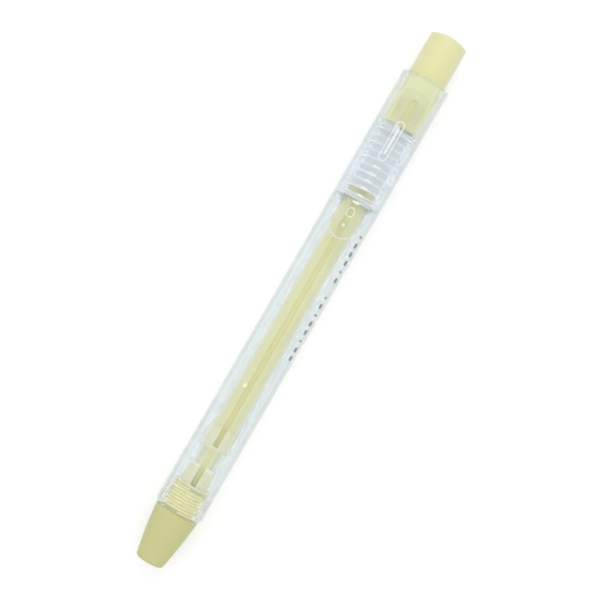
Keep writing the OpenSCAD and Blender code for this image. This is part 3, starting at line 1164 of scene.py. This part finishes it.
def pill(z0, z1, half_w):
    """A block with round ends that stands through the top of the clip."""
    piece = mark(z0, z1, half_w, CLIP_TOP)
    bpy.ops.object.mode_set(mode="EDIT")
    edges_chosen(piece, lambda a, b: abs(a.z - b.z) > 0.5 * MM)
    bpy.ops.mesh.bevel(offset=half_w * 0.98 * MM, segments=8, affect="EDGES")
    bpy.ops.object.mode_set(mode="OBJECT")
    return piece


def hollow_pill(z0, z1, half_w, line, side_line):
    """A pill with a hole, which leaves lines of those widths at its ends and its sides."""
    hole = pill(z0 + line, z1 - line, half_w - side_line)
    return combined(pill(z0, z1, half_w), hole, "DIFFERENCE")


clip_marks = [
    hollow_pill(FRAME_Z, FRAME_END_Z, FRAME_HALF_W, FRAME_LINE, FRAME_LINE),
    pill(STRIPE_Z, STRIPE_END_Z, STRIPE_HALF_W),
]
for i in range(BAR_COUNT):
    bar_z = BAR_FIRST_Z - i * BAR_PITCH
    clip_marks.append(mark(bar_z, bar_z + BAR_LEN, BAR_HALF_W, CLIP_TOP))
ring_mark = (RING_MARK_Z, RING_MARK_END_Z, RING_MARK_HALF_W, RING_MARK_LINE, RING_MARK_SIDE_LINE)
clip_marks.append(hollow_pill(*ring_mark))
ink_layer(clip_marks, "clip_marking", CLIP_TOP, WHITE_INK, "clip")


def dash(z, length):
    """A block that stands through the barrel's wall at the side of the clip."""
    return turned_round(mark(z - length / 2, z + length / 2, DASH_HALF_W, BARREL_R), DASH_TURN)


dashes = [dash(DASH_FIRST_Z - i * DASH_PITCH, w) for i, w in enumerate(DASH_LENGTHS) if w]
ink_layer(dashes, "barrel_marking", BARREL_R, GREY_INK, "barrel")


# Floor and light, with lengths in metres

FLOOR_SIZE = 4.0
FLOOR_COLOR = (0.6, 0.6, 0.6, 1)
FLOOR_GLOW = 0.5
WORLD_LIGHT = 0.87

bpy.ops.object.select_all(action="DESELECT")
bpy.ops.mesh.primitive_plane_add(size=FLOOR_SIZE, location=(0, 0, 0))
floor = bpy.context.active_object
floor.name = "studio_floor"

floor_white = bpy.data.materials.new("floor_white")
floor_white.use_nodes = True
tree = floor_white.node_tree
shader = tree.nodes["Principled BSDF"]
shader.inputs["Base Color"].default_value = FLOOR_COLOR
shader.inputs["Roughness"].default_value = 1.0
shader.inputs["Specular IOR Level"].default_value = 0.0
shader.inputs["Emission Color"].default_value = (1, 1, 1, 1)


def seen_directly(tree):
    """1 for rays that the camera, a reflection or a refraction sends, 0 for the rest."""
    path = tree.nodes.new("ShaderNodeLightPath")
    total = path.outputs["Is Camera Ray"]
    for label in ("Is Glossy Ray", "Is Transmission Ray"):
        node = tree.nodes.new("ShaderNodeMath")
        node.operation = "MAXIMUM"
        tree.links.new(total, node.inputs[0])
        tree.links.new(path.outputs[label], node.inputs[1])
        total = node.outputs[0]
    return total


glow = tree.nodes.new("ShaderNodeMath")
glow.operation = "MULTIPLY"
glow.inputs[1].default_value = FLOOR_GLOW
tree.links.new(seen_directly(tree), glow.inputs[0])
tree.links.new(glow.outputs[0], shader.inputs["Emission Strength"])
floor.data.materials.append(floor_white)

world = bpy.data.worlds.new("studio")
bpy.context.scene.world = world
world.use_nodes = True
tree = world.node_tree
background = tree.nodes["Background"]
background.inputs["Color"].default_value = (1, 1, 1, 1)
strength = tree.nodes.new("ShaderNodeMapRange")
strength.inputs["To Min"].default_value = WORLD_LIGHT
strength.inputs["To Max"].default_value = 1.0
tree.links.new(seen_directly(tree), strength.inputs["Value"])
tree.links.new(strength.outputs["Result"], background.inputs["Strength"])


def softbox(name, place, size, watts):
    """A square soft light at that place, turned towards the pen."""
    data = bpy.data.lights.new(name, "AREA")
    data.size = size
    data.energy = watts
    lamp = bpy.data.objects.new(name, data)
    bpy.context.scene.collection.objects.link(lamp)
    lamp.location = place
    lamp.rotation_euler = (-lamp.location).to_track_quat("-Z", "Y").to_euler()
    lamp.visible_camera = False


softbox("key_light", (0.55, 0.1, 0.55), size=0.5, watts=1.2)
